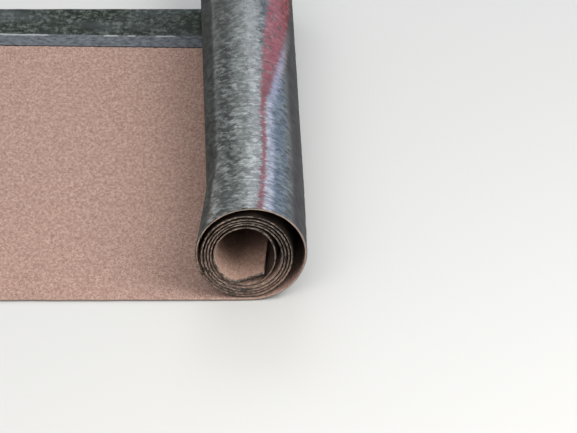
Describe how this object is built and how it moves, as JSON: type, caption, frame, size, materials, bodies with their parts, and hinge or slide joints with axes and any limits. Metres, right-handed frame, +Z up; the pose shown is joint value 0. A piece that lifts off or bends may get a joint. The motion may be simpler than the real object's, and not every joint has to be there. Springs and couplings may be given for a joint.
{
  "type": "roll of roofing felt",
  "caption": "Part-used roll of mineral-faced bitumen roofing felt on its side, its outer end laid flat, granules inside and glossy film outside.",
  "frame": {"origin": "on the floor, under the middle of the whole piece's box", "axes": "+X across the roll, away from the laid end; +Y along the roll's axis, from the sprung near end to the far end; +Z up"},
  "size_m": [0.5818, 1, 0.1723],
  "materials": {
    "felt": "glossy rippled burn-off film over bitumen on the outer face, pinkish brown mineral granules on the inner face"
  },
  "bodies": {
    "root": {"felt_roll": "felt"}
  },
  "joints": []
}
